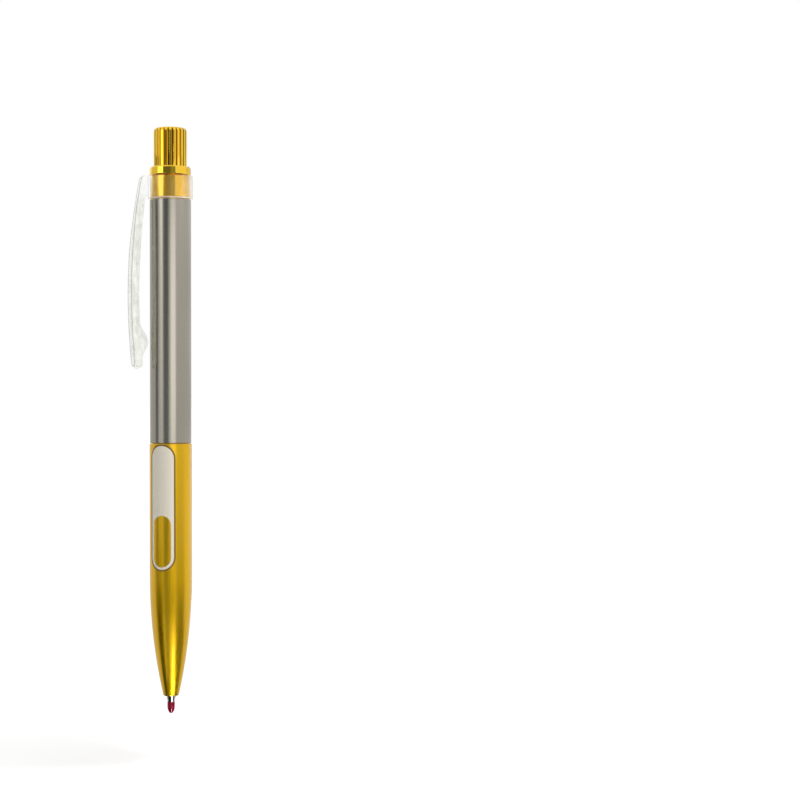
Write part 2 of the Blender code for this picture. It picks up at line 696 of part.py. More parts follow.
def make_tip_holder(parts, parent):
    """Plastic piece that plugs the tube and holds the metal tip; the spring bears on its shoulder."""
    seat = TIP_SHANK_RADIUS + SEAT_GAP
    channel = HOLDER_CHANNEL_DIAMETER / 2
    return turned("tip_holder", [
        (PLUG_RADIUS, HOLDER_TOP),
        (PLUG_RADIUS, HOLDER_PLUG),
        (TUBE_RADIUS, HOLDER_PLUG),
        (TUBE_RADIUS, SHOULDER),
        (HOLDER_NOSE_RADIUS, SHOULDER),
        (HOLDER_NOSE_RADIUS, HOLDER_FRONT),
        (seat, HOLDER_FRONT),
        (seat, TIP_TOP + SEAT_GAP),
        (channel, TIP_TOP + SEAT_GAP),
        (channel, HOLDER_TOP),
    ], parts, parent, FINE_STEPS)


def make_tip_body(parts, parent):
    """Metal tip: a shank, a long cone and a socket whose lip keeps the ball in."""
    socket = BALL_RADIUS + BALL_GAP
    lip = math.sqrt(BALL_RADIUS ** 2 - (BALL_CENTRE - TIP_FRONT) ** 2) + BALL_GAP
    socket_top = BALL_CENTRE + socket
    feed = TIP_FEED_DIAMETER / 2
    bore = TIP_BORE_DIAMETER / 2
    feed_top = socket_top + TIP_FEED_LENGTH
    return turned("tip_body", [
        (TIP_SHANK_RADIUS, TIP_TOP),
        (TIP_SHANK_RADIUS, CONE_TOP),
        (TIP_FRONT_DIAMETER / 2, TIP_FRONT),
        (lip, TIP_FRONT),
        (socket, BALL_CENTRE),
        (socket, socket_top),
        (feed, socket_top),
        (feed, feed_top),
        (bore, feed_top + bore),
        (bore, TIP_TOP),
    ], parts, parent, FINE_STEPS)


def make_writing_ball(parts, parent):
    mesh = bpy.data.meshes.new("writing_ball")
    work = bmesh.new()
    bmesh.ops.create_uvsphere(work, u_segments=FINE_STEPS, v_segments=FINE_STEPS // 2, radius=BALL_RADIUS)
    work.to_mesh(mesh)
    work.free()
    mesh.shade_smooth()
    ball = place(bpy.data.objects.new("writing_ball", mesh), parts, parent)
    ball.location = (0.0, 0.0, BALL_CENTRE)
    return ball


def make_tip_seal(parts, parent):
    """Drop of soft seal over the ball, egg-shaped outside and fitted to the cone inside."""
    belly = SEAL_DIAMETER / 2
    widening = (TIP_SHANK_RADIUS - TIP_FRONT_DIAMETER / 2) / TIP_CONE_LENGTH
    floor = SEAL_CAP - SEAL_GAP
    floor_radius = TIP_FRONT_DIAMETER / 2 + SEAL_GAP
    rim_radius = floor_radius + widening * (SEAL_LENGTH - TIP_FRONT)
    inner = [(0.0, floor), (floor_radius, floor), (floor_radius, TIP_FRONT), (rim_radius, SEAL_LENGTH)]
    outer = [(belly, SEAL_LENGTH)]
    for step in range(2 * EDGE_STEPS):
        angle = math.pi / 2 * step / (2 * EDGE_STEPS)
        outer.append((belly * math.cos(angle), SEAL_BELLY_HEIGHT * (1 - math.sin(angle))))
    return turned("tip_seal", inner + outer + [(0.0, 0.0)], parts, parent, FINE_STEPS)


def make_return_spring(parts, parent):
    """Open coil between the nose and the refill's shoulder."""
    bottom = POCKET_FLOOR + SEAT_GAP + WIRE_RADIUS
    top = SHOULDER - SEAT_GAP - WIRE_RADIUS
    turn_height = (top - bottom) / SPRING_TURNS
    path = helix(SPRING_RADIUS, bottom, top, turn_height, SPRING_POINTS)
    least = min(
        math.dist(first, second)
        for index, first in enumerate(path)
        for second in path[index + SPRING_POINTS // 2:])
    print(f"return_spring least gap to itself {1000 * (least - SPRING_WIRE_DIAMETER):.2f} mm")
    return tube_along("return_spring", path, WIRE_RADIUS, parts, parent)


def body_axis(name, collection, parent=None):
    """Empty on the pen's axis that carries the pieces of one moving body."""
    return place(bpy.data.objects.new(name, None), collection, parent)


def main():
    clear_scene()
    parts = new_collection("twist_gel_pen")
    cutters = new_collection("cutters")

    pen = body_axis("pen_axis", parts)
    knob = body_axis("knob_axis", parts, pen)
    refill = body_axis("refill_axis", parts, pen)
    grip = body_axis("grip_axis", parts, pen)

    gold = finish("gold_anodised_aluminium", (0.56, 0.36, 0.03), 0.28, 1.0)
    silver = finish("silver_anodised_aluminium", (0.50, 0.49, 0.46), 0.32, 1.0)
    brass = finish("brass", (0.58, 0.42, 0.15), 0.35, 1.0)
    steel = finish("stainless_steel", (0.55, 0.55, 0.55), 0.25, 1.0)
    clear = finish("clear_polycarbonate", (0.92, 0.93, 0.90), 0.05, 0.0, 1.0)
    frosted = finish("natural_polypropylene", (0.80, 0.80, 0.78), 0.45, 0.0, 0.5)
    white = finish("white_acetal", (0.78, 0.78, 0.76), 0.45, 0.0)
    black = finish("black_nitrile_rubber", (0.02, 0.02, 0.02), 0.6, 0.0)
    ink = finish("red_gel_ink", (0.45, 0.01, 0.03), 0.2, 0.0)
    grease = finish("clear_grease", (0.75, 0.72, 0.55), 0.2, 0.0, 0.6)
    wax = finish("red_seal_wax", (0.30, 0.00, 0.02), 0.25, 0.0)
    carbide = finish("tungsten_carbide", (0.20, 0.20, 0.22), 0.2, 1.0)

    ink_bottom = HOLDER_TOP + SEAT_GAP
    grease_bottom = ink_bottom + INK_LENGTH + SEAT_GAP
    finishes = [
        (make_lower_barrel(parts, cutters, grip), gold),
        (make_upper_barrel(parts, pen), silver),
        (make_barrel_coupling(parts, cutters, pen), brass),
        (make_clip_collar(parts, pen), gold),
        (make_clip(parts, cutters, pen), clear),
        (make_twist_knob(parts, cutters, knob), gold),
        (make_knob_spindle(parts, knob), brass),
        (make_drag_ring(parts, knob), black),
        (make_guide_sleeve(parts, cutters, pen), white),
        (make_cam_rotor(parts, cutters, knob), white),
        (make_retaining_ring(parts, cutters, pen), steel),
        (make_follower(parts, cutters, refill), white),
        (make_cross_pin(parts, refill), steel),
        (make_refill_tail_plug(parts, refill), white),
        (make_refill_tube(parts, refill), frosted),
        (make_column("ink_column", ink_bottom, INK_LENGTH, parts, refill), ink),
        (make_column("ink_follower", grease_bottom, INK_FOLLOWER_LENGTH, parts, refill), grease),
        (make_tip_holder(parts, refill), white),
        (make_tip_body(parts, refill), steel),
        (make_writing_ball(parts, refill), carbide),
        (make_tip_seal(parts, refill), wax),
        (make_return_spring(parts, pen), steel),
    ]
    for item, material in finishes:
        item.data.materials.append(material)


main()
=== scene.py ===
"""Looks of the twist gel pen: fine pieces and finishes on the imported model, a white studio and a camera."""
import math

import bmesh
import bpy
from mathutils import Matrix, Vector


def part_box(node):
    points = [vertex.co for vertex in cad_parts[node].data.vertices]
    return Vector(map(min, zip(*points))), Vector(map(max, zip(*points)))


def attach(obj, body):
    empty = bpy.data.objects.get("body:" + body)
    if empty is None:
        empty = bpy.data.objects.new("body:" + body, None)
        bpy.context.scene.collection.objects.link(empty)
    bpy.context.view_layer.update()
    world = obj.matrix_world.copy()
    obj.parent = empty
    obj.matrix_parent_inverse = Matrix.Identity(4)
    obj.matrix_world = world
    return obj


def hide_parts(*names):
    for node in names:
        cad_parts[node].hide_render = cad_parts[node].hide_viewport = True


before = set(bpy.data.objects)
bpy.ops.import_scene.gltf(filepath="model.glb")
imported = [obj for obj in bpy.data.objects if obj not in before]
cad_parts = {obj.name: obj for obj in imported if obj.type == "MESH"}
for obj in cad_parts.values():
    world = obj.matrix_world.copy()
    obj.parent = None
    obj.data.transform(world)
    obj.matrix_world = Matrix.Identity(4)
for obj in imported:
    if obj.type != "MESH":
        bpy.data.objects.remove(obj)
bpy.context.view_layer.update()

MM = 0.001
# Points nearer than this are one; heights this far apart lie on two sides of a step.
MERGE = 1e-7
TURN_STEPS = 160
SHARP_ANGLE = math.radians(22)

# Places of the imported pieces, in metres along the pen's axis and out from it.
LOWER_LOW, LOWER_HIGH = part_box("lower_barrel")
UPPER_LOW, UPPER_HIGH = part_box("upper_barrel")
COLLAR_LOW, COLLAR_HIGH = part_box("clip_collar")
CLIP_LOW, CLIP_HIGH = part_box("clip")
KNOB_LOW, KNOB_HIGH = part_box("twist_knob")
BUSH_LOW, BUSH_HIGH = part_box("barrel_coupling")
TIP_LOW, TIP_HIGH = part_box("tip_body")
SEAL_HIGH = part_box("tip_seal")[1]

SEAT_GAP = 0.1 * MM
RUN_GAP = 0.12 * MM

# Lower barrel.
GRIP_RADIUS = LOWER_HIGH[0]
MOUTH = LOWER_LOW[2]
SEAM = LOWER_HIGH[2]
NOSE_TOP = MOUTH + 28.1 * MM
MOUTH_RADIUS = 1.8 * MM
MOUTH_LIP = 0.5 * MM
MOUTH_BORE = 1.27 * MM
POCKET_FLOOR = MOUTH + 8.8 * MM
POCKET_RADIUS = 2.5 * MM
POCKET_TOP = POCKET_FLOOR + 9.2 * MM
REFILL_BORE = 3.3 * MM
THREAD_BORE = 4.15 * MM
THREAD_BORE_FLOOR = SEAM - 6.6 * MM
SEAM_EDGE = 0.12 * MM
NOSE_STEPS = 48
LIP_STEPS = 6

# Threaded bush between the barrels: a round ridge on its spigot runs in a groove in the grip's bore. The lead
# turns the ridge a little from the bush's own columns of points, so that joining them leaves no slivers.
BUSH_RADIUS = BUSH_HIGH[0]
BUSH_EDGE = 0.15 * MM
BUSH_SPIGOT = THREAD_BORE - RUN_GAP
THREAD_PITCH = 1.0 * MM
THREAD_TURNS = 3
THREAD_RIDGE = 0.2 * MM
THREAD_BOTTOM = SEAM - 4.0 * MM
THREAD_LEAD = math.radians(0.7)
GROOVE_RUN_OUT = 0.5 * MM
THREAD_SIDES = 16
THREAD_STEPS = 72

# Upper barrel.
UPPER_RADIUS = UPPER_HIGH[0]
UPPER_BORE = UPPER_RADIUS - 0.5 * MM
UPPER_EDGE = 0.12 * MM

# Collar inside the clip's ring.
COLLAR_RADIUS = COLLAR_HIGH[0]
COLLAR_EDGE = 0.2 * MM
COLLAR_FOOT = 0.45 * MM
COLLAR_TAPER = 0.18 * MM
COLLAR_BORE = 1.62 * MM
SPIGOT_RADIUS = 4.3 * MM

# Knob.
FLANGE_RADIUS = KNOB_HIGH[0]
FLANGE_BOTTOM = KNOB_LOW[2]
FLANGE_TOP = FLANGE_BOTTOM + 2.0 * MM
FLANGE_EDGE = 0.06 * MM
FLANGE_EDGE_HEIGHT = 0.14 * MM
FLANGE_TOP_EDGE = 0.3 * MM
FLANGE_TAPER = 0.08 * MM
KNOB_TOP = KNOB_HIGH[2]
KNOB_RADIUS = 3.95 * MM
KNOB_EDGE = 1.0 * MM
KNOB_BORE = 1.6 * MM
KNOB_BORE_TOP = FLANGE_BOTTOM + 6.1 * MM
FLUTES = 24
FLUTE_DEPTH = 0.4 * MM
GROOVE_SHARE = 0.45
FLUTE_POINTS = 24
FLUTE_TURN = math.radians(1.4)
KNOB_EDGE_STEPS = 8

# Clip: a ring and a bowed arm with a pad, moulded in one. A face belongs to the arm's rounded corners where
# its normal leans by the slant both outwards and sideways. The plastic clears over a stretch about the ring's
# foot.
RING_RADIUS = CLIP_HIGH[0]
RING_BORE = RING_RADIUS - 0.5 * MM
RING_TOP = CLIP_HIGH[2]
RING_BOTTOM = UPPER_HIGH[2] + SEAT_GAP
RING_EDGE = 0.12 * MM
RING_LIP = 0.35 * MM
ROOT_FOOT = RING_BOTTOM + 0.2 * MM
ARM_TOP = RING_TOP - 0.1 * MM
ARM_BOTTOM = CLIP_LOW[2]
ARM_CREST = ARM_TOP - 28.2 * MM
CREST_REACH = -CLIP_LOW[0]
ROOT_REACH = UPPER_RADIUS + 2.3 * MM
END_REACH = UPPER_RADIUS + 4.1 * MM
ARM_THICKNESS = 2.0 * MM
ARM_WIDTH = 4.2 * MM
ROOT_WIDTH = 2.4 * MM
FLARE_LENGTH = 13.5 * MM
PAD_HEIGHT = ARM_BOTTOM + 6.6 * MM
PAD_LENGTH = 9.0 * MM
PAD_GAP = 0.85 * MM
ARM_CORNER = 0.2 * MM
ARM_SHOULDER = 1.0 * MM
CORNER_STEPS = 5
CORNER_SLANT = 0.15
ROOT_CLEARING = 1.5 * MM
ROOT_RINGS = 12
ARM_RINGS = 56
END_RINGS = 12

# Writing tip and its seal.
SHANK_RADIUS = TIP_HIGH[0]
TIP_FRONT = TIP_LOW[2]
CONE_TOP = TIP_FRONT + 3.6 * MM
TIP_FRONT_RADIUS = 0.36 * MM
CONE_EDGE = 0.05 * MM
BALL_CENTRE = 0.8 * MM
SOCKET_RADIUS = 0.3 * MM
LIP_RADIUS = 0.25 * MM
TIP_BORE = 0.55 * MM
FUNNEL_TOP = BALL_CENTRE + 5 * SOCKET_RADIUS
CONE_SLOPE = (SHANK_RADIUS - TIP_FRONT_RADIUS) / (CONE_TOP - TIP_FRONT)
SEAL_RADIUS = SEAL_HIGH[0]
SEAL_TOP = SEAL_HIGH[2]
SEAL_BELLY = 1.75 * MM
SEAL_GAP = 0.06 * MM
SEAL_FLOOR = TIP_FRONT - 0.1 * MM - SEAL_GAP
SEAL_RIM = 0.02 * MM
SEAL_STEPS = 20

# Printed panel on the grip, with a bare window in its lower part.
PANEL_AZIMUTH = math.radians(231)
PANEL_TOP = 63.9 * MM
PANEL_BOTTOM = 34.6 * MM
PANEL_HALF_WIDTH = 3.0 * MM
WINDOW_TOP = 47.4 * MM
WINDOW_BOTTOM = 35.15 * MM
WINDOW_HALF_WIDTH = 2.3 * MM
PRINT_HEIGHT = 0.02 * MM
# The line round the panel is a painted shadow of the panel's edge.
EDGE_LINE = 0.4 * MM
PANEL_END_STEPS = 32
PANEL_STRIPS = 32


def arc(centre_radius, centre_height, radius, start, end, steps):
    """Points of an arc in the radius and height plane, angles in degrees from outwards."""
    points = []
    for step in range(steps + 1):
        angle = math.radians(start + (end - start) * step / steps)
        points.append((centre_radius + radius * math.cos(angle), centre_height + radius * math.sin(angle)))
    return points


def spread(start, end, steps):
    """Evenly spaced values from a start to an end, both among them."""
    return [start + (end - start) * step / steps for step in range(steps + 1)]


def new_piece(name, work):
    """Object from a finished bmesh, smooth but for its sharp edges."""
    mesh = bpy.data.meshes.new(name)
    work.to_mesh(mesh)
    work.free()
    mesh.shade_smooth()
    mesh.set_sharp_from_angle(angle=SHARP_ANGLE)
    piece = bpy.data.objects.new(name, mesh)
    bpy.context.scene.collection.objects.link(piece)
    return piece


def turned(name, profile, steps=TURN_STEPS):
    """Body turned about the pen's axis from an outline of (radius, height) points."""
    work = bmesh.new()
    points = [work.verts.new((radius, 0.0, height)) for radius, height in profile]
    pairs = list(zip(points, points[1:]))
    if profile[0][0] > 0:
        pairs.append((points[-1], points[0]))
    edges = [work.edges.new(pair) for pair in pairs]
    bmesh.ops.spin(work, geom=points + edges, cent=(0, 0, 0), axis=(0, 0, 1), angle=2 * math.pi,
                   steps=steps, use_merge=True)
    bmesh.ops.remove_doubles(work, verts=work.verts, dist=MERGE)
    bmesh.ops.dissolve_degenerate(work, edges=work.edges, dist=MERGE)
    bmesh.ops.recalc_face_normals(work, faces=work.faces)
    return new_piece(name, work)


def combined(first, second, operation):
    """One closed body from two, joined or cut; the second object is used up."""
    change = first.modifiers.new("combine", "BOOLEAN")
    change.operation = operation
    change.solver = "EXACT"
    change.object = second
    bpy.context.view_layer.update()
    graph = bpy.context.evaluated_depsgraph_get()
    mesh = bpy.data.meshes.new_from_object(first.evaluated_get(graph))
    first.modifiers.clear()
    first.data = mesh
    bpy.data.objects.remove(second, do_unlink=True)
    mesh.shade_smooth()
    mesh.set_sharp_from_angle(angle=SHARP_ANGLE)
    return first


def thread_bead(bottom, turns, bead_radius):
    """Round bead wound up the bush's spigot in a right-hand thread, from a height, closed at both ends."""
    work = bmesh.new()
    circle = bmesh.ops.create_circle(work, cap_ends=False, segments=THREAD_SIDES, radius=bead_radius)["verts"]
    turned_by = THREAD_LEAD + 2 * math.pi * (bottom - THREAD_BOTTOM) / THREAD_PITCH
    start = Matrix.Rotation(turned_by, 4, "Z")
    stood = Matrix.Translation((BUSH_SPIGOT, 0, bottom)) @ Matrix.Rotation(math.pi / 2, 4, "X")
    bmesh.ops.transform(work, verts=circle, matrix=start @ stood)
    steps = round(turns * THREAD_STEPS)
    bmesh.ops.spin(work, geom=circle + work.edges[:], cent=(0, 0, 0), axis=(0, 0, 1),
                   angle=2 * math.pi * turns, dvec=(0, 0, THREAD_PITCH * turns / steps), steps=steps)
    bmesh.ops.holes_fill(work, edges=work.edges, sides=0)
    bmesh.ops.recalc_face_normals(work, faces=work.faces)
    return new_piece("thread_bead", work)


def threaded_bush():
    """Bush that sits in the upper barrel, with its spigot and thread in the grip."""
    bush = turned("threaded_bush", [
        (BUSH_RADIUS - BUSH_EDGE, BUSH_HIGH[2]),
        (BUSH_RADIUS, BUSH_HIGH[2] - BUSH_EDGE),
        (BUSH_RADIUS, UPPER_LOW[2]),
        (BUSH_SPIGOT, UPPER_LOW[2]),
        (BUSH_SPIGOT, BUSH_LOW[2] + BUSH_EDGE),
        (BUSH_SPIGOT - BUSH_EDGE, BUSH_LOW[2]),
        (REFILL_BORE, BUSH_LOW[2]),
        (REFILL_BORE, BUSH_HIGH[2]),
    ])
    return combined(bush, thread_bead(THREAD_BOTTOM, THREAD_TURNS, THREAD_RIDGE), "UNION")


def nose_radius(height):
    """Outer radius of the grip: one arc, tangent to the straight part, down to the mouth."""
    drop = GRIP_RADIUS - MOUTH_RADIUS
    length = NOSE_TOP - MOUTH
    curve = (length ** 2 + drop ** 2) / (2 * drop)
    below = max(0.0, NOSE_TOP - height)
    return GRIP_RADIUS - (curve - math.sqrt(curve ** 2 - below ** 2))


def grip_barrel():
    """Grip that tapers to a round-lipped mouth, with the spring's pocket and the thread's groove inside."""
    lip_top = MOUTH + MOUTH_LIP
    profile = [(GRIP_RADIUS - SEAM_EDGE, SEAM), (GRIP_RADIUS, SEAM - SEAM_EDGE)]
    profile += [(nose_radius(height), height) for height in spread(NOSE_TOP, lip_top, NOSE_STEPS)]
    profile += arc(nose_radius(lip_top) - MOUTH_LIP, lip_top, MOUTH_LIP, 0, -90, LIP_STEPS)[1:]
    profile += [
        (MOUTH_BORE, MOUTH),
        (MOUTH_BORE, POCKET_FLOOR),
        (POCKET_RADIUS, POCKET_FLOOR),
        (POCKET_RADIUS, POCKET_TOP),
        (REFILL_BORE, POCKET_TOP),
        (REFILL_BORE, THREAD_BORE_FLOOR),
        (THREAD_BORE, THREAD_BORE_FLOOR),
        (THREAD_BORE, SEAM),
    ]
    groove_bottom = THREAD_BOTTOM - GROOVE_RUN_OUT
    groove_turns = (SEAM - groove_bottom) / THREAD_PITCH + 1
    groove = thread_bead(groove_bottom, groove_turns, THREAD_RIDGE + RUN_GAP)
    return combined(turned("grip_barrel", profile), groove, "DIFFERENCE")


def silver_barrel():
    top, bottom = UPPER_HIGH[2], UPPER_LOW[2]
    return turned("silver_barrel", [
        (UPPER_RADIUS - UPPER_EDGE, top),
        (UPPER_RADIUS, top - UPPER_EDGE),
        (UPPER_RADIUS, bottom + UPPER_EDGE),
        (UPPER_RADIUS - UPPER_EDGE, bottom),
        (UPPER_BORE, bottom),
        (UPPER_BORE, top),
    ])


def gold_collar():
    return turned("gold_collar", [
        (COLLAR_RADIUS - COLLAR_TAPER - COLLAR_EDGE, RING_TOP),
        (COLLAR_RADIUS - COLLAR_TAPER, RING_TOP - COLLAR_EDGE),
        (COLLAR_RADIUS, RING_BOTTOM + COLLAR_FOOT),
        (SPIGOT_RADIUS + COLLAR_EDGE, RING_BOTTOM),
        (SPIGOT_RADIUS, RING_BOTTOM),
        (SPIGOT_RADIUS, COLLAR_LOW[2]),
        (COLLAR_BORE, COLLAR_LOW[2]),
        (COLLAR_BORE, RING_TOP),
    ])


def extruded(work, loop):
    """New points from extruding the edges of a closed loop of points."""
    edges = [work.edges.get(pair) for pair in zip(loop, loop[1:] + loop[:1])]
    made = bmesh.ops.extrude_edge_only(work, edges=edges)
    return [item for item in made["geom"] if isinstance(item, bmesh.types.BMVert)]


def turn_of(vert):
    """Angle of a point round the pen's axis."""
    return math.atan2(vert.co.y, vert.co.x)


def groove_share(step):
    """How deep in a groove a point of the knob's circle is: nought on the flat-backed ridges, one at the
    bottom of the steep-walled grooves between them."""
    from_groove = abs(2 * (step % FLUTE_POINTS) / FLUTE_POINTS - 1)
    return max(0.0, 1 - from_groove / GROOVE_SHARE)


def fluted_knob():
    """Knob with a smooth flange and lengthwise flutes that run out over its rounded top edge."""
    rings = [
        (KNOB_BORE, KNOB_BORE_TOP, False),
        (KNOB_BORE, FLANGE_BOTTOM, False),
        (FLANGE_RADIUS - FLANGE_EDGE, FLANGE_BOTTOM, False),
        (FLANGE_RADIUS, FLANGE_BOTTOM + FLANGE_EDGE_HEIGHT, False),
        (FLANGE_RADIUS - FLANGE_TAPER, FLANGE_TOP - FLANGE_TOP_EDGE, False),
        (FLANGE_RADIUS - FLANGE_TAPER - FLANGE_TOP_EDGE, FLANGE_TOP, False),
        (KNOB_RADIUS, FLANGE_TOP, True),
    ]
    top_edge = arc(KNOB_RADIUS - KNOB_EDGE, KNOB_TOP - KNOB_EDGE, KNOB_EDGE, 0, 90, KNOB_EDGE_STEPS)
    rings += [(radius, height, True) for radius, height in top_edge]
    work = bmesh.new()
    groove = work.verts.layers.float.new("groove")
    circle = bmesh.ops.create_circle(work, cap_ends=True, segments=FLUTES * FLUTE_POINTS, radius=KNOB_BORE)
    loop = sorted(circle["verts"], key=turn_of)
    for number, (radius, height, fluted) in enumerate(rings):
        if number:
            loop = sorted(extruded(work, loop), key=turn_of)
        for step, vert in enumerate(loop):
            angle = turn_of(vert)
            fluted_radius = KNOB_RADIUS - FLUTE_DEPTH * groove_share(step)
            in_groove = fluted and fluted_radius < radius
            reach = fluted_radius if in_groove else radius
            vert.co = (reach * math.cos(angle), reach * math.sin(angle), height)
            # The groove's depth also sets the painted shade in the knob's finish.
            vert[groove] = groove_share(step) if in_groove else 0.0
    bmesh.ops.contextual_create(work, geom=loop)
    bmesh.ops.rotate(work, verts=work.verts, cent=(0, 0, 0), matrix=Matrix.Rotation(FLUTE_TURN, 3, "Z"))
    bmesh.ops.recalc_face_normals(work, faces=work.faces)
    return new_piece("fluted_knob", work)


def arm_reach(height):
    """Distance from the axis to the arm's outer face, which bows out to a crest."""
    if height > ARM_CREST:
        share = (height - ARM_CREST) / (ARM_TOP - ARM_CREST)
        reach = CREST_REACH - (CREST_REACH - ROOT_REACH) * share ** 2
        shoulder = max(0.0, height - (ARM_TOP - ARM_SHOULDER))
        return reach - ARM_SHOULDER + math.sqrt(max(0.0, ARM_SHOULDER ** 2 - shoulder ** 2))
    share = (ARM_CREST - height) / (ARM_CREST - ARM_BOTTOM)
    return CREST_REACH - (CREST_REACH - END_REACH) * share ** 2


def arm_inner_face(height):
    """Distance from the axis to the arm's inner face: in the ring's wall above the root's foot, and below it
    free of the barrel, with the pad swelling towards it."""
    if height > ROOT_FOOT:
        return RING_BORE + (RING_RADIUS - RING_BORE) / 2
    pad_rise = arm_reach(PAD_HEIGHT) - ARM_THICKNESS - UPPER_RADIUS - PAD_GAP
    from_pad = abs(height - PAD_HEIGHT) / (PAD_LENGTH / 2)
    swell = 0.5 + 0.5 * math.cos(math.pi * min(1.0, from_pad))
    return arm_reach(height) - ARM_THICKNESS - pad_rise * swell


def arm_half_width(height):
    """Half the arm's width: narrow at the root, easing out below the ring, round at the end."""
    share = min(1.0, max(0.0, (RING_BOTTOM - height) / FLARE_LENGTH))
    ease = share * share * (3 - 2 * share)
    full = (ROOT_WIDTH + (ARM_WIDTH - ROOT_WIDTH) * ease) / 2
    from_end = min(height - ARM_BOTTOM, full)
    return math.sqrt(max(0.0, full ** 2 - (full - from_end) ** 2))


def arm_section(height):
    """Corners-rounded section of the arm at a height, as (x, y) points round it."""
    outer, inner, half_width = arm_reach(height), arm_inner_face(height), arm_half_width(height)
    half_depth = (outer - inner) / 2
    end_radius = ARM_THICKNESS / 2
    from_end = min(height - ARM_BOTTOM, end_radius)
    half_depth *= math.sqrt(max(0.0, 1 - (1 - from_end / end_radius) ** 2))
    centre = -(outer + inner) / 2
    corner = min(ARM_CORNER, half_depth, half_width)
    points = []
    for across, along, start in ((1, 1, 0), (-1, 1, 90), (-1, -1, 180), (1, -1, 270)):
        for step in range(CORNER_STEPS + 1):
            angle = math.radians(start + 90 * step / CORNER_STEPS)
            x = centre + across * (half_depth - corner) + corner * math.cos(angle)
            y = along * (half_width - corner) + corner * math.sin(angle)
            points.append((x, y))
    return points


def clip_arm():
    """Arm lofted down through its sections, from the root to the round end."""
    end_height = ARM_BOTTOM + ARM_WIDTH / 2
    heights = [ARM_TOP - ARM_SHOULDER * (1 - math.cos(math.pi / 2 * step / ROOT_RINGS))
               for step in range(ROOT_RINGS + 1)]
    heights += spread(heights[-1], ROOT_FOOT, ROOT_RINGS)[1:]
    heights += spread(ROOT_FOOT, end_height, ARM_RINGS)
    heights += [ARM_BOTTOM + ARM_WIDTH / 2 * (1 - math.sin(math.pi / 2 * step / END_RINGS))
                for step in range(1, END_RINGS)]
    work = bmesh.new()
    count = 4 * (CORNER_STEPS + 1)
    loop = bmesh.ops.create_circle(work, cap_ends=False, segments=count, radius=1.0)["verts"]
    for number, height in enumerate(heights):
        # Two sections share the height of the root's foot, one on each side of the step there.
        section = arm_section(height - MERGE) if number > 2 * ROOT_RINGS else arm_section(height)
        if number:
            fresh = extruded(work, loop)
            loop = [min(fresh, key=lambda vert, old=old: (vert.co - old.co).length) for old in loop]
        for vert, (x, y) in zip(loop, section):
            vert.co = (x, y, height)
    bmesh.ops.remove_doubles(work, verts=work.verts, dist=MERGE)
    bmesh.ops.dissolve_degenerate(work, edges=work.edges, dist=MERGE)
    bmesh.ops.holes_fill(work, edges=work.edges, sides=0)
    bmesh.ops.recalc_face_normals(work, faces=work.faces)
    return new_piece("clear_clip", work)


def clear_clip():
    """Arm and ring joined in one body."""
    ring = turned("clip_ring", [
        (RING_RADIUS - RING_EDGE, RING_TOP),
        (RING_RADIUS, RING_TOP - RING_EDGE),
        (RING_RADIUS, RING_BOTTOM + RING_EDGE),
        (RING_RADIUS - RING_EDGE, RING_BOTTOM),
        (RING_BORE, RING_BOTTOM),
        (RING_BORE, RING_BOTTOM + RING_LIP),
        (RING_BORE, RING_TOP),
    ])
    return combined(clip_arm(), ring, "UNION")


def writing_tip():
    """Turned tip: a shank, a long cone and a socket for the ball."""
    return turned("writing_tip", [
        (SHANK_RADIUS, TIP_HIGH[2]),
        (SHANK_RADIUS, CONE_TOP + CONE_EDGE),
        (SHANK_RADIUS - CONE_EDGE * CONE_SLOPE, CONE_TOP - CONE_EDGE),
        (TIP_FRONT_RADIUS, TIP_FRONT),
        (LIP_RADIUS, TIP_FRONT),
        (SOCKET_RADIUS, BALL_CENTRE),
        (SOCKET_RADIUS, BALL_CENTRE + SOCKET_RADIUS),
        (TIP_BORE, FUNNEL_TOP),
        (TIP_BORE, TIP_HIGH[2]),
    ])


def seal_drop():
    """Drop over the ball: egg-shaped outside, fitted to the tip's cone inside."""
    floor_radius = TIP_FRONT_RADIUS + SEAL_GAP
    rim_radius = floor_radius + CONE_SLOPE * (SEAL_TOP - TIP_FRONT)
    profile = [
        (0.0, SEAL_FLOOR),
        (floor_radius, SEAL_FLOOR),
        (floor_radius, TIP_FRONT),
        (rim_radius, SEAL_TOP),
        (rim_radius + SEAL_RIM, SEAL_TOP),
    ]
    for step in range(SEAL_STEPS):
        angle = math.pi / 2 * step / SEAL_STEPS
        profile.append((SEAL_RADIUS * math.cos(angle), SEAL_BELLY * (1 - math.sin(angle))))
    return turned("seal_drop", profile + [(0.0, 0.0)])


def capsule(half_width, bottom, top):
    """Outline of a panel with half-round ends, as (across, height) points."""
    upper, lower = top - half_width, bottom + half_width
    points = arc(0.0, upper, half_width, 0, 180, PANEL_END_STEPS)
    return points + arc(0.0, lower, half_width, 180, 360, PANEL_END_STEPS)


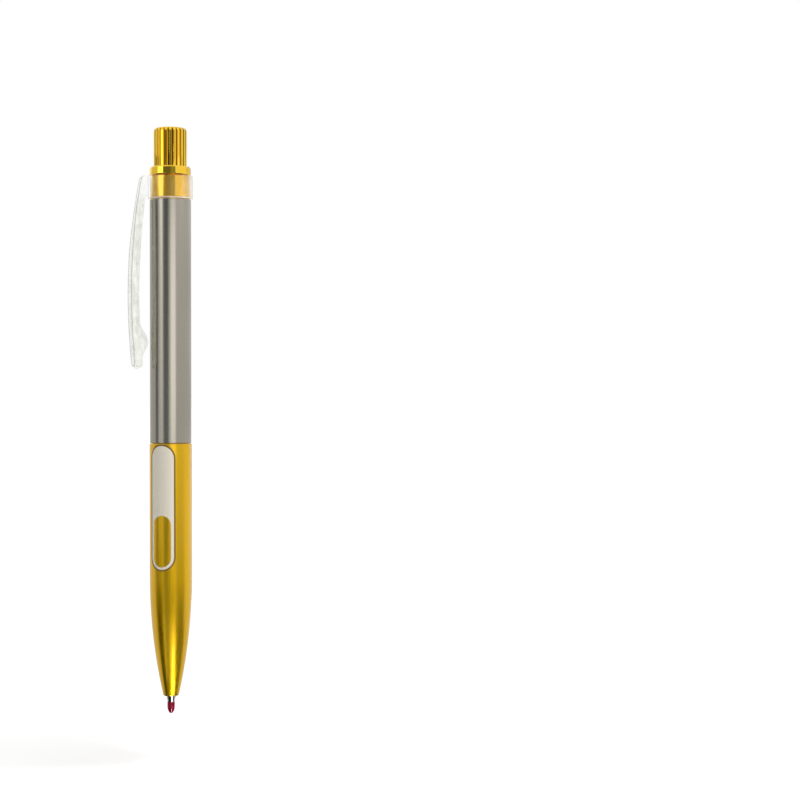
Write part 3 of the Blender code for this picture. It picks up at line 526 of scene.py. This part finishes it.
def wrapped_print(name, *outlines):
    """Thin print wrapped round the grip, between an outer outline and the window inside it."""
    work = bmesh.new()
    edges = []
    for outline in outlines:
        points = [work.verts.new((across, 0.0, height)) for across, height in outline]
        edges += [work.edges.new(pair) for pair in zip(points, points[1:] + points[:1])]
    bmesh.ops.triangle_fill(work, use_beauty=True, edges=edges)
    for across in spread(-PANEL_HALF_WIDTH, PANEL_HALF_WIDTH, PANEL_STRIPS)[1:-1]:
        bmesh.ops.bisect_plane(work, geom=work.verts[:] + work.edges[:] + work.faces[:], dist=MERGE,
                               plane_co=(across, 0, 0), plane_no=(1, 0, 0))
    made = bmesh.ops.extrude_face_region(work, geom=work.faces[:])
    raised = {item for item in made["geom"] if isinstance(item, bmesh.types.BMVert)}
    for vert in work.verts:
        radius = GRIP_RADIUS + (PRINT_HEIGHT if vert in raised else -PRINT_HEIGHT)
        angle = PANEL_AZIMUTH + vert.co.x / GRIP_RADIUS
        vert.co = (radius * math.cos(angle), radius * math.sin(angle), vert.co.z)
    bmesh.ops.recalc_face_normals(work, faces=work.faces)
    return new_piece(name, work)


def printed_panel():
    outer = capsule(PANEL_HALF_WIDTH, PANEL_BOTTOM, PANEL_TOP)
    window = capsule(WINDOW_HALF_WIDTH, WINDOW_BOTTOM, WINDOW_TOP)
    return wrapped_print("printed_panel", outer, window)


# Dark line round the panel: a painted shadow of the panel's edge.
def panel_edge_line():
    outer = capsule(PANEL_HALF_WIDTH + EDGE_LINE, PANEL_BOTTOM - EDGE_LINE, PANEL_TOP + EDGE_LINE)
    inner = capsule(PANEL_HALF_WIDTH, PANEL_BOTTOM, PANEL_TOP)
    return wrapped_print("panel_edge_line", outer, inner)


# Finishes. Sizes of patterns are in millimetres. A pixel of the picture is about a quarter of a millimetre.
NOISE_DETAIL = 3.0
BUMP_STRENGTH = 0.3
POLYCARBONATE_IOR = 1.58
# How solid the clear plastic looks: in the arm, in its root, in the ring's front and at the ring's sides.
ARM_BODY = 0.45
ROOT_BODY = 0.12
RING_BODY = 0.14
RING_SIDE_BODY = 0.6
# How far the ring has turned from the eye where its front ends and where its sides begin.
RING_TURN_FROM = 0.5
RING_TURN_TO = 0.9
# Range of the noise that makes the arm's flow marks.
FLOW_FROM = 0.28
FLOW_TO = 0.72
# How much the turning marks change the knob's tone.
KNOB_GRAIN = 0.1


def colour(code):
    """Linear RGBA of an sRGB hex colour."""
    shares = [int(code[place:place + 2], 16) / 255 for place in (1, 3, 5)]
    linear = [share / 12.92 if share <= 0.04045 else ((share + 0.055) / 1.055) ** 2.4 for share in shares]
    return (*linear, 1.0)


def per(size):
    """Texture scale that gives features of a size in millimetres on Object coordinates in metres."""
    return 1.0 / (size * MM)


def add(tree, kind, settings=(), links=()):
    """Adds a node, sets its properties and inputs by name or number, and links sockets to its inputs."""
    made = tree.nodes.new(kind)
    for key, value in dict(settings).items():
        if isinstance(key, str) and hasattr(made, key):
            setattr(made, key, value)
        else:
            made.inputs[key].default_value = value
    for key, socket in dict(links).items():
        tree.links.new(socket, made.inputs[key])
    return made


def finish(name, settings):
    """New material and its shader with the values that are the same all over."""
    material = bpy.data.materials.new(name)
    material.use_nodes = True
    shader = material.node_tree.nodes["Principled BSDF"]
    for key, value in settings.items():
        shader.inputs[key].default_value = value
    return material, material.node_tree, shader


def marks(tree, width, length):
    """Noise drawn out along the pen's axis: marks of a width and a length in millimetres."""
    place = add(tree, "ShaderNodeTexCoord")
    drawn = add(tree, "ShaderNodeMapping", {"Scale": (1.0, 1.0, width / length)},
                {"Vector": place.outputs["Object"]})
    noise = add(tree, "ShaderNodeTexNoise", {"Scale": per(width), "Detail": NOISE_DETAIL},
                {"Vector": drawn.outputs["Vector"]})
    return noise.outputs["Fac"]


def dress(tree, shader, pattern, low_tone, high_tone, smooth, rough, relief=0.0):
    """Lets a pattern from nought to one vary a shader's colour, its roughness and, by a relief in
    millimetres, its height."""
    # A Mix node's colours are its inputs 6 and 7 and its output 2.
    tone = add(tree, "ShaderNodeMix", {"data_type": "RGBA", 6: colour(low_tone), 7: colour(high_tone)},
               {0: pattern})
    haze = add(tree, "ShaderNodeMapRange", {"To Min": smooth, "To Max": rough}, {"Value": pattern})
    tree.links.new(tone.outputs[2], shader.inputs["Base Color"])
    tree.links.new(haze.outputs["Result"], shader.inputs["Roughness"])
    if relief:
        bump = add(tree, "ShaderNodeBump", {"Strength": BUMP_STRENGTH, "Distance": relief * MM},
                   {"Height": pattern})
        tree.links.new(bump.outputs["Normal"], shader.inputs["Normal"])


def by_height(tree, bottom, top, low, high):
    """Value that runs from a low one to a high one between two heights."""
    place = add(tree, "ShaderNodeTexCoord")
    split = add(tree, "ShaderNodeSeparateXYZ", {}, {"Vector": place.outputs["Object"]})
    level = add(tree, "ShaderNodeMapRange", {
        "From Min": bottom, "From Max": top, "To Min": low, "To Max": high}, {"Value": split.outputs["Z"]})
    return level.outputs["Result"]


def satin_gold():
    """Satin anodised aluminium, dyed gold: a soft mirror with faint lengthwise draw lines, under a clear
    sealed oxide whose sharper sheen pales the edges. The real lines are some hundredths of a millimetre wide,
    and are drawn coarser so that they show."""
    material, tree, shader = finish("satin_gold_anodised_aluminium", {
        "Metallic": 1.0, "Coat Weight": 0.35, "Coat IOR": 1.5, "Coat Roughness": 0.08})
    dress(tree, shader, marks(tree, width=0.3, length=12.0), low_tone="#D8A808", high_tone="#E8B80E",
          smooth=0.24, rough=0.36, relief=0.002)
    return material


def bright_gold():
    """Bright-dipped gold anodised aluminium: clearer reflections than the grip, with turning marks round it,
    drawn coarser than the lathe leaves them so that they show."""
    material, tree, shader = finish("bright_gold_anodised_aluminium", {"Metallic": 1.0})
    dress(tree, shader, marks(tree, width=0.6, length=0.1), low_tone="#EFC24B", high_tone="#F7CA58",
          smooth=0.06, rough=0.10, relief=0.001)
    return material


def fluted_gold():
    """The same bright gold on the knob, bright on the ridges and darkened to brown down in the grooves by
    painted shade, the deeper the darker. A groove's depth is the piece's own attribute."""
    material, tree, shader = finish("fluted_gold_with_painted_groove_shade", {"Metallic": 1.0})
    depth = add(tree, "ShaderNodeAttribute", {"attribute_name": "groove"})
    grain = add(tree, "ShaderNodeMapRange", {"To Min": -KNOB_GRAIN, "To Max": KNOB_GRAIN},
                {"Value": marks(tree, width=0.6, length=0.1)})
    shade = add(tree, "ShaderNodeMath", {"operation": "ADD", "use_clamp": True},
                {0: depth.outputs["Fac"], 1: grain.outputs["Result"]})
    # Painted shade: the tone runs from bright gold on the ridges to dark brown at the bottoms of the grooves.
    dress(tree, shader, shade.outputs[0], low_tone="#F4C840", high_tone="#8A5C10", smooth=0.06, rough=0.12)
    return material


def satin_silver():
    """Satin anodised aluminium tube: grey, with lengthwise draw lines that break up the reflections, drawn
    coarser than the real ones so that they show."""
    material, tree, shader = finish("satin_silver_anodised_aluminium", {"Metallic": 1.0})
    dress(tree, shader, marks(tree, width=0.25, length=16.0), low_tone="#979286", high_tone="#A39E92",
          smooth=0.17, rough=0.24, relief=0.002)
    return material


def clear_polycarbonate():
    """Clear moulded polycarbonate: glassy, with a breath of yellow and soft flow marks along the arm, and
    clearer at the thin root."""
    material, tree, shader = finish("clear_polycarbonate", {
        "Transmission Weight": 1.0, "IOR": POLYCARBONATE_IOR})
    flow = add(tree, "ShaderNodeMapRange", {"From Min": FLOW_FROM, "From Max": FLOW_TO},
               {"Value": marks(tree, width=0.9, length=2.6)})
    dress(tree, shader, flow.outputs["Result"], low_tone="#84886A", high_tone="#FFFFEE",
          smooth=0.06, rough=0.16, relief=0.01)
    body = by_height(tree, RING_BOTTOM - ROOT_CLEARING, RING_BOTTOM + ROOT_CLEARING, ARM_BODY, ROOT_BODY)
    tree.links.new(body, shader.inputs["Alpha"])
    return material


def grey_edge_polycarbonate():
    """The same plastic along the arm's rounded corners, painted grey and less clear as painted shade for the
    light those corners bend away.
    """
    material, tree, shader = finish("edge_of_clear_polycarbonate", {
        "Transmission Weight": 0.3, "IOR": POLYCARBONATE_IOR, "Alpha": 0.5})
    dress(tree, shader, marks(tree, width=0.4, length=4.0), low_tone="#60645A", high_tone="#80847A",
          smooth=0.25, rough=0.40)
    return material


def polished_polycarbonate():
    """The same plastic on the ring, thin and polished: the collar shows through it almost as it is, and the
    ring shows most at its sides, where one looks along the wall."""
    material, tree, shader = finish("polished_polycarbonate", {
        "Transmission Weight": 1.0, "IOR": POLYCARBONATE_IOR})
    dress(tree, shader, marks(tree, width=1.2, length=2.0), low_tone="#D8C49C", high_tone="#E4D0AA",
          smooth=0.02, rough=0.05)
    slant = add(tree, "ShaderNodeLayerWeight", {"Blend": 0.5})
    body = add(tree, "ShaderNodeMapRange", {
        "From Min": RING_TURN_FROM, "From Max": RING_TURN_TO, "To Min": RING_BODY, "To Max": RING_SIDE_BODY},
        {"Value": slant.outputs["Facing"]})
    tree.links.new(body.outputs["Result"], shader.inputs["Alpha"])
    return material


def frosted_polycarbonate():
    """The same plastic left rough by the mould at the foot of the ring's bore: pale and hazy, with its grain
    drawn coarser than the mould's so that it shows."""
    material, tree, shader = finish("frosted_polycarbonate", {
        "Transmission Weight": 0.25, "IOR": POLYCARBONATE_IOR})
    dress(tree, shader, marks(tree, width=0.3, length=0.3), low_tone="#FCEFD8", high_tone="#FFF8E8",
          smooth=0.45, rough=0.60)
    return material


def pale_print():
    """Screen-printed enamel ink: warm white, matt, with the mottle of a thin coat, drawn coarser than the
    screen's mesh so that it shows."""
    material, tree, shader = finish("screen_printed_enamel", {})
    dress(tree, shader, marks(tree, width=0.4, length=0.5), low_tone="#F2EAD6", high_tone="#FCF4E2",
          smooth=0.40, rough=0.52)
    return material


def painted_edge_shadow():
    """Dark brown line round the print's edge, a painted shadow of that edge: dull, with a fine mottle."""
    material, tree, shader = finish("painted_shadow_line", {})
    dress(tree, shader, marks(tree, width=0.15, length=0.3), low_tone="#7A5A14", high_tone="#8C6A20",
          smooth=0.50, rough=0.65)
    return material


def turned_steel(name, dark, light):
    """Turned and polished metal: a clear mirror crossed by rings from the lathe, drawn coarser than the real
    ones so that they show."""
    material, tree, shader = finish(name, {"Metallic": 1.0})
    dress(tree, shader, marks(tree, width=0.8, length=0.25), dark, light, smooth=0.06, rough=0.14)
    return material


def seal_wax():
    """Red sealing drop, dipped and set: deep crimson with a wet gloss."""
    material, tree, shader = finish("red_seal_wax", {
        "IOR": 1.45, "Specular IOR Level": 0.1, "Coat Weight": 0.35, "Coat IOR": 1.5, "Coat Roughness": 0.05})
    dress(tree, shader, marks(tree, width=0.4, length=0.6), low_tone="#800026", high_tone="#A80436",
          smooth=0.12, rough=0.22)
    return material


def plain(name, dark, light, smooth, rough, settings, size=0.4):
    """Inner piece's finish: its colour and gloss vary with a fine mottle of one size in millimetres."""
    material, tree, shader = finish(name, settings)
    dress(tree, shader, marks(tree, size, size), dark, light, smooth, rough)
    return material


def wear(piece, material):
    piece.data.materials.clear()
    piece.data.materials.append(material)


def settle(piece, body, slot, material, *nodes):
    """Puts a piece on its body, with its finish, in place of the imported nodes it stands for."""
    wear(piece, material)
    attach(piece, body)
    if nodes:
        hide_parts(*nodes)


def finish_clip(clip):
    """Gives the clip's ring the polished finish, the foot of its bore the frosted one, and the arm's outer
    corners the grey one, which is painted shade."""
    for material in (polished_polycarbonate(), frosted_polycarbonate(), grey_edge_polycarbonate()):
        clip.data.materials.append(material)
    for face in clip.data.polygons:
        height, across = face.center.z, face.center.xy.length
        if height > RING_BOTTOM - MERGE and RING_BORE - RING_EDGE < across < RING_RADIUS:
            in_lip = RING_BOTTOM + MERGE < height < RING_BOTTOM + RING_LIP and across < RING_BORE
            face.material_index = 2 if in_lip else 1
        elif face.normal.x < -CORNER_SLANT and abs(face.normal.y) > CORNER_SLANT:
            face.material_index = 3


def dress_inner_pieces():
    """The threaded bush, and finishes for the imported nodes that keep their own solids."""
    brass = plain("turned_brass", "#B98F45", "#CDA458", 0.22, 0.34, {"Metallic": 1.0}, 0.2)
    acetal = plain("white_acetal", "#DCDCD6", "#E8E8E4", 0.38, 0.48, {"IOR": 1.48})
    tube = plain("natural_polypropylene", "#E4E4DE", "#F0F0EC", 0.30, 0.42,
                 {"IOR": 1.49, "Transmission Weight": 0.6})
    rubber = plain("black_nitrile_rubber", "#141414", "#1E1E1E", 0.55, 0.70, {})
    ink = plain("red_gel_ink", "#A8102C", "#BC1834", 0.10, 0.18, {"IOR": 1.36})
    grease = plain("clear_grease", "#E2DCC0", "#EEEAD4", 0.12, 0.22,
                   {"IOR": 1.46, "Transmission Weight": 0.6})
    spring = turned_steel("spring_steel", "#8C8C8C", "#A4A4A4")
    carbide = turned_steel("tungsten_carbide", "#6C6C70", "#808086")
    finishes = {
        brass: ("knob_spindle",),
        acetal: ("guide_sleeve", "cam_rotor", "follower", "refill_tail_plug", "tip_holder"),
        tube: ("refill_tube",),
        rubber: ("drag_ring",),
        ink: ("ink_column",),
        grease: ("ink_follower",),
        spring: ("return_spring", "retaining_ring", "cross_pin"),
        carbide: ("writing_ball",),
    }
    settle(threaded_bush(), "barrel", "brass", brass, "barrel_coupling")
    for material, nodes in finishes.items():
        for name in nodes:
            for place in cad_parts[name].material_slots:
                place.material = material


def dress_pen():
    settle(grip_barrel(), "grip", "gold_anodised", satin_gold(), "lower_barrel")
    settle(printed_panel(), "grip", "white_plastic", pale_print())
    settle(panel_edge_line(), "grip", "gold_anodised", painted_edge_shadow())
    settle(silver_barrel(), "barrel", "silver_anodised", satin_silver(), "upper_barrel")
    settle(gold_collar(), "barrel", "gold_anodised", bright_gold(), "clip_collar")
    clip = clear_clip()
    settle(clip, "barrel", "clear_plastic", clear_polycarbonate(), "clip")
    finish_clip(clip)
    settle(fluted_knob(), "knob", "gold_anodised", fluted_gold(), "twist_knob")
    settle(writing_tip(), "refill", "steel", turned_steel("polished_steel", "#B4B0AC", "#C8C4C0"), "tip_body")
    settle(seal_drop(), "seal", "red_seal", seal_wax(), "tip_seal")
    dress_inner_pieces()


# Studio: white all round, with dark boards and light strips that the metal mirrors. Angles are in
# degrees round the pen from the camera's side, positive to the right; heights and distances are in metres.
VIEW_TURN = math.radians(13)
FLOOR_HEIGHT = -0.012
WALL_RADIUS = 0.35
BOARD_LIFT = 0.0005
BAND = 0.165
HIGH_BAND = 0.181
WALL_TOP = 0.30
# Boards dimmer than this are a cool grey.
SHADE = 0.6
BOARD_STEPS = 12
FLOOR_REACH = 20.0
# Strength of the sky as a soft light, and of the floor's glow where the floor is seen.
SKY_FILL = 0.30
FLOOR_GLOW = 0.36
# Name, first and last angle, bottom, top, light at the bottom, light at the top.
WALL_BOARDS = (
    ("grey_back_left", -176, -94, FLOOR_HEIGHT, BAND, 0.78, 0.80),
    ("dark_left", -92, -72, FLOOR_HEIGHT, BAND, 0.42, 0.08),
    ("strip_left", -58, -45, 0.045, BAND, 0.95, 2.20),
    ("dark_front_left", -41, -11, FLOOR_HEIGHT, BAND, 0.36, 0.22),
    ("strip_front", 0, 28, 0.045, BAND, 2.10, 2.20),
    ("grey_front_low", 20, 42, FLOOR_HEIGHT, 0.045, 0.58, 0.62),
    ("right_low", 30, 150, 0.060, 0.085, 0.80, 0.85),
    ("right_high", 30, 150, 0.115, BAND, 0.78, 1.25),
    ("dark_back_right", 158, 176, FLOOR_HEIGHT, WALL_TOP, 0.30, 0.30),
    ("knob_left", -125, -66, BAND, HIGH_BAND, 0.48, 0.48),
    ("knob_strip", -66, -46, BAND, HIGH_BAND, 2.60, 2.60),
    ("knob_dark", -46, 12, BAND, HIGH_BAND, 0.22, 0.22),
    ("knob_grey", 12, 26, BAND, HIGH_BAND, 0.35, 0.35),
    ("knob_bright", 50, 80, BAND, HIGH_BAND, 1.40, 1.40),
    ("knob_right", 84, 150, BAND, HIGH_BAND, 0.85, 0.85),
    ("collar_left", -125, -76, HIGH_BAND, WALL_TOP, 0.72, 0.78),
    ("collar_strip", -75, -42, HIGH_BAND, WALL_TOP, 2.00, 2.00),
    ("collar_dark", -41, 2, HIGH_BAND, WALL_TOP, 0.16, 0.26),
    ("collar_grey", 2, 29, HIGH_BAND, WALL_TOP, 0.32, 0.40),
    ("collar_right", 100, 150, HIGH_BAND, WALL_TOP, 0.80, 0.80),
)
# Name, first and last angle, near and far distance from the pen, light.
FLOOR_BOARDS = (
    ("floor_back_left", -178, -88, 0.035, 0.70, 0.75),
    ("floor_left", -88, -47, 0.035, 0.34, 0.03),
    ("floor_left_far", -88, -47, 0.34, 0.70, 0.10),
    ("floor_left_streak_near", -37, -29, 0.035, 0.150, 0.45),
    ("floor_left_streak", -47, -41, 0.150, 0.70, 0.85),
    ("floor_front_left_near", -29, -8, 0.035, 0.150, 0.40),
    ("floor_front_left", -41, -8, 0.150, 0.70, 0.28),
    ("floor_front_near", 6, 30, 0.037, 0.078, 3.40),
    ("floor_front_mid", 6, 27, 0.078, 0.120, 0.70),
    ("floor_front_mid_streak", 11, 20, 0.078, 0.120, 1.50),
    ("floor_front", -8, 28, 0.120, 0.70, 0.27),
    ("floor_front_streak", 15, 25, 0.120, 0.70, 0.65),
    ("floor_right_near", 30, 90, 0.035, 0.140, 0.20),
    ("floor_right", 28, 78, 0.140, 0.65, 0.28),
    ("floor_right_back", 78, 150, 0.140, 0.65, 0.88),
    ("floor_right_back_near", 90, 178, 0.035, 0.140, 0.80),
    ("floor_tip_left", -150, 6, 0.0005, 0.037, 0.02),
    ("floor_tip_front", 8, 46, 0.0225, 0.037, 4.20),
    ("floor_tip_front_near", 8, 46, 0.0185, 0.0225, 0.80),
    ("floor_tip_right", 46, 90, 0.0005, 0.035, 0.12),
    ("floor_tip_back", 90, 210, 0.0005, 0.035, 0.10),
    ("floor_seal_glint", 4, 30, 0.003, 0.0185, 55.0),
)


def light_path_mix(tree):
    """One for rays that see the background: from the camera, off a mirror or through a clear piece."""
    path = add(tree, "ShaderNodeLightPath")
    seen = add(tree, "ShaderNodeMath", {"operation": "MAXIMUM"},
               {0: path.outputs["Is Camera Ray"], 1: path.outputs["Is Glossy Ray"]})
    return add(tree, "ShaderNodeMath", {"operation": "MAXIMUM"},
               {0: seen.outputs[0], 1: path.outputs["Is Transmission Ray"]}).outputs[0]


def studio_world():
    world = bpy.data.worlds.new("white_studio")
    world.use_nodes = True
    tree = world.node_tree
    sky = tree.nodes["Background"]
    sky.inputs["Color"].default_value = (1.0, 1.0, 1.0, 1.0)
    level = add(tree, "ShaderNodeMapRange", {"To Min": SKY_FILL, "To Max": 1.0},
                {"Value": light_path_mix(tree)})
    tree.links.new(level.outputs["Result"], sky.inputs["Strength"])
    bpy.context.scene.world = world


def studio_floor():
    """Pale floor: white where it is seen, with the pen's soft shadow on it."""
    work = bmesh.new()
    bmesh.ops.create_grid(work, x_segments=2, y_segments=2, size=FLOOR_REACH)
    bmesh.ops.translate(work, vec=(0, 0, FLOOR_HEIGHT), verts=work.verts)
    floor = new_piece("floor", work)
    material, tree, shader = finish("white_floor", {
        "Base Color": colour("#E6E6E6"), "Roughness": 0.9, "Specular IOR Level": 0.0,
        "Emission Color": (1.0, 1.0, 1.0, 1.0)})
    glow = add(tree, "ShaderNodeMapRange", {"To Min": 0.0, "To Max": FLOOR_GLOW},
               {"Value": light_path_mix(tree)})
    tree.links.new(glow.outputs["Result"], shader.inputs["Emission Strength"])
    wear(floor, material)


def board(name, start, end, profile, low, high):
    """Board swept round the pen from a profile of (radius, height) points, seen only in reflections. Its
    light runs from a low level at the profile's start to a high one at its end; dim boards are cool."""
    work = bmesh.new()
    points = [work.verts.new((radius, 0.0, height)) for radius, height in profile]
    edges = [work.edges.new(pair) for pair in zip(points, points[1:])]
    camera_side = -math.pi / 2 - VIEW_TURN
    bmesh.ops.rotate(work, verts=points, cent=(0, 0, 0),
                     matrix=Matrix.Rotation(camera_side + math.radians(start), 3, "Z"))
    bmesh.ops.spin(work, geom=points + edges, cent=(0, 0, 0), axis=(0, 0, 1),
                   angle=math.radians(end - start), steps=BOARD_STEPS)
    piece = new_piece(name, work)
    material, tree, shader = finish(name, {
        "Base Color": (0.0, 0.0, 0.0, 1.0), "Specular IOR Level": 0.0, "Emission Strength": high,
        "Emission Color": colour("#E8F4FF" if high < SHADE else "#FFFFFF")})
    if low != high:
        level = by_height(tree, profile[0][1], profile[-1][1], low, high)
        tree.links.new(level, shader.inputs["Emission Strength"])
    wear(piece, material)
    piece.visible_camera = False
    piece.visible_diffuse = False
    piece.visible_transmission = False
    piece.visible_shadow = False


def studio_boards():
    """Wall boards stand round the pen; floor boards lie just over the floor, each a little above the last."""
    for name, start, end, bottom, top, low, high in WALL_BOARDS:
        board(name, start, end, ((WALL_RADIUS, bottom), (WALL_RADIUS, top)), low, high)
    for number, (name, start, end, near, far, level) in enumerate(FLOOR_BOARDS):
        lifted = FLOOR_HEIGHT + BOARD_LIFT * (number + 1) / len(FLOOR_BOARDS)
        board(name, start, end, ((near, lifted), (far, lifted)), level, level)


def soft_sun(toward, height, spread_angle, strength):
    """Wide soft light from an angle round the pen and a height in degrees; metal and glass don't show it."""
    light = bpy.data.lights.new("soft_sun", "SUN")
    light.angle = math.radians(spread_angle)
    light.energy = strength
    item = bpy.data.objects.new("soft_sun", light)
    azimuth = -math.pi / 2 - VIEW_TURN + math.radians(toward)
    level = math.cos(math.radians(height))
    source = Vector((level * math.cos(azimuth), level * math.sin(azimuth), math.sin(math.radians(height))))
    item.rotation_euler = source.to_track_quat("Z", "Y").to_euler()
    item.visible_glossy = False
    item.visible_transmission = False
    bpy.context.scene.collection.objects.link(item)


# Camera: level, a little to the clip's side, with the pen left of the picture's centre.
SENSOR = 36.0
LENS = 90.4
VIEW_DISTANCE = 0.480
PEN_LEFT_OF_CENTRE = 0.0548
EYE_HEIGHT = 0.0747
ROLL = math.radians(-0.09)
CLIP_START = 0.01


def camera():
    data = bpy.data.cameras.new("camera")
    data.sensor_width = SENSOR
    data.lens = LENS
    data.clip_start = CLIP_START
    item = bpy.data.objects.new("camera", data)
    bpy.context.scene.collection.objects.link(item)
    distance = math.hypot(VIEW_DISTANCE, PEN_LEFT_OF_CENTRE)
    item.location = (-distance * math.sin(VIEW_TURN), -distance * math.cos(VIEW_TURN), EYE_HEIGHT)
    heading = VIEW_TURN + math.atan2(PEN_LEFT_OF_CENTRE, VIEW_DISTANCE)
    ahead = Vector((math.sin(heading), math.cos(heading), 0.0))
    turn = ahead.to_track_quat("-Z", "Y").to_matrix() @ Matrix.Rotation(ROLL, 3, "Z")
    item.rotation_euler = turn.to_euler()
    bpy.context.scene.camera = item


def main():
    bpy.context.scene.view_settings.view_transform = "Standard"
    dress_pen()
    studio_world()
    studio_floor()
    studio_boards()
    soft_sun(toward=60, height=50, spread_angle=50, strength=2.4)
    camera()


main()
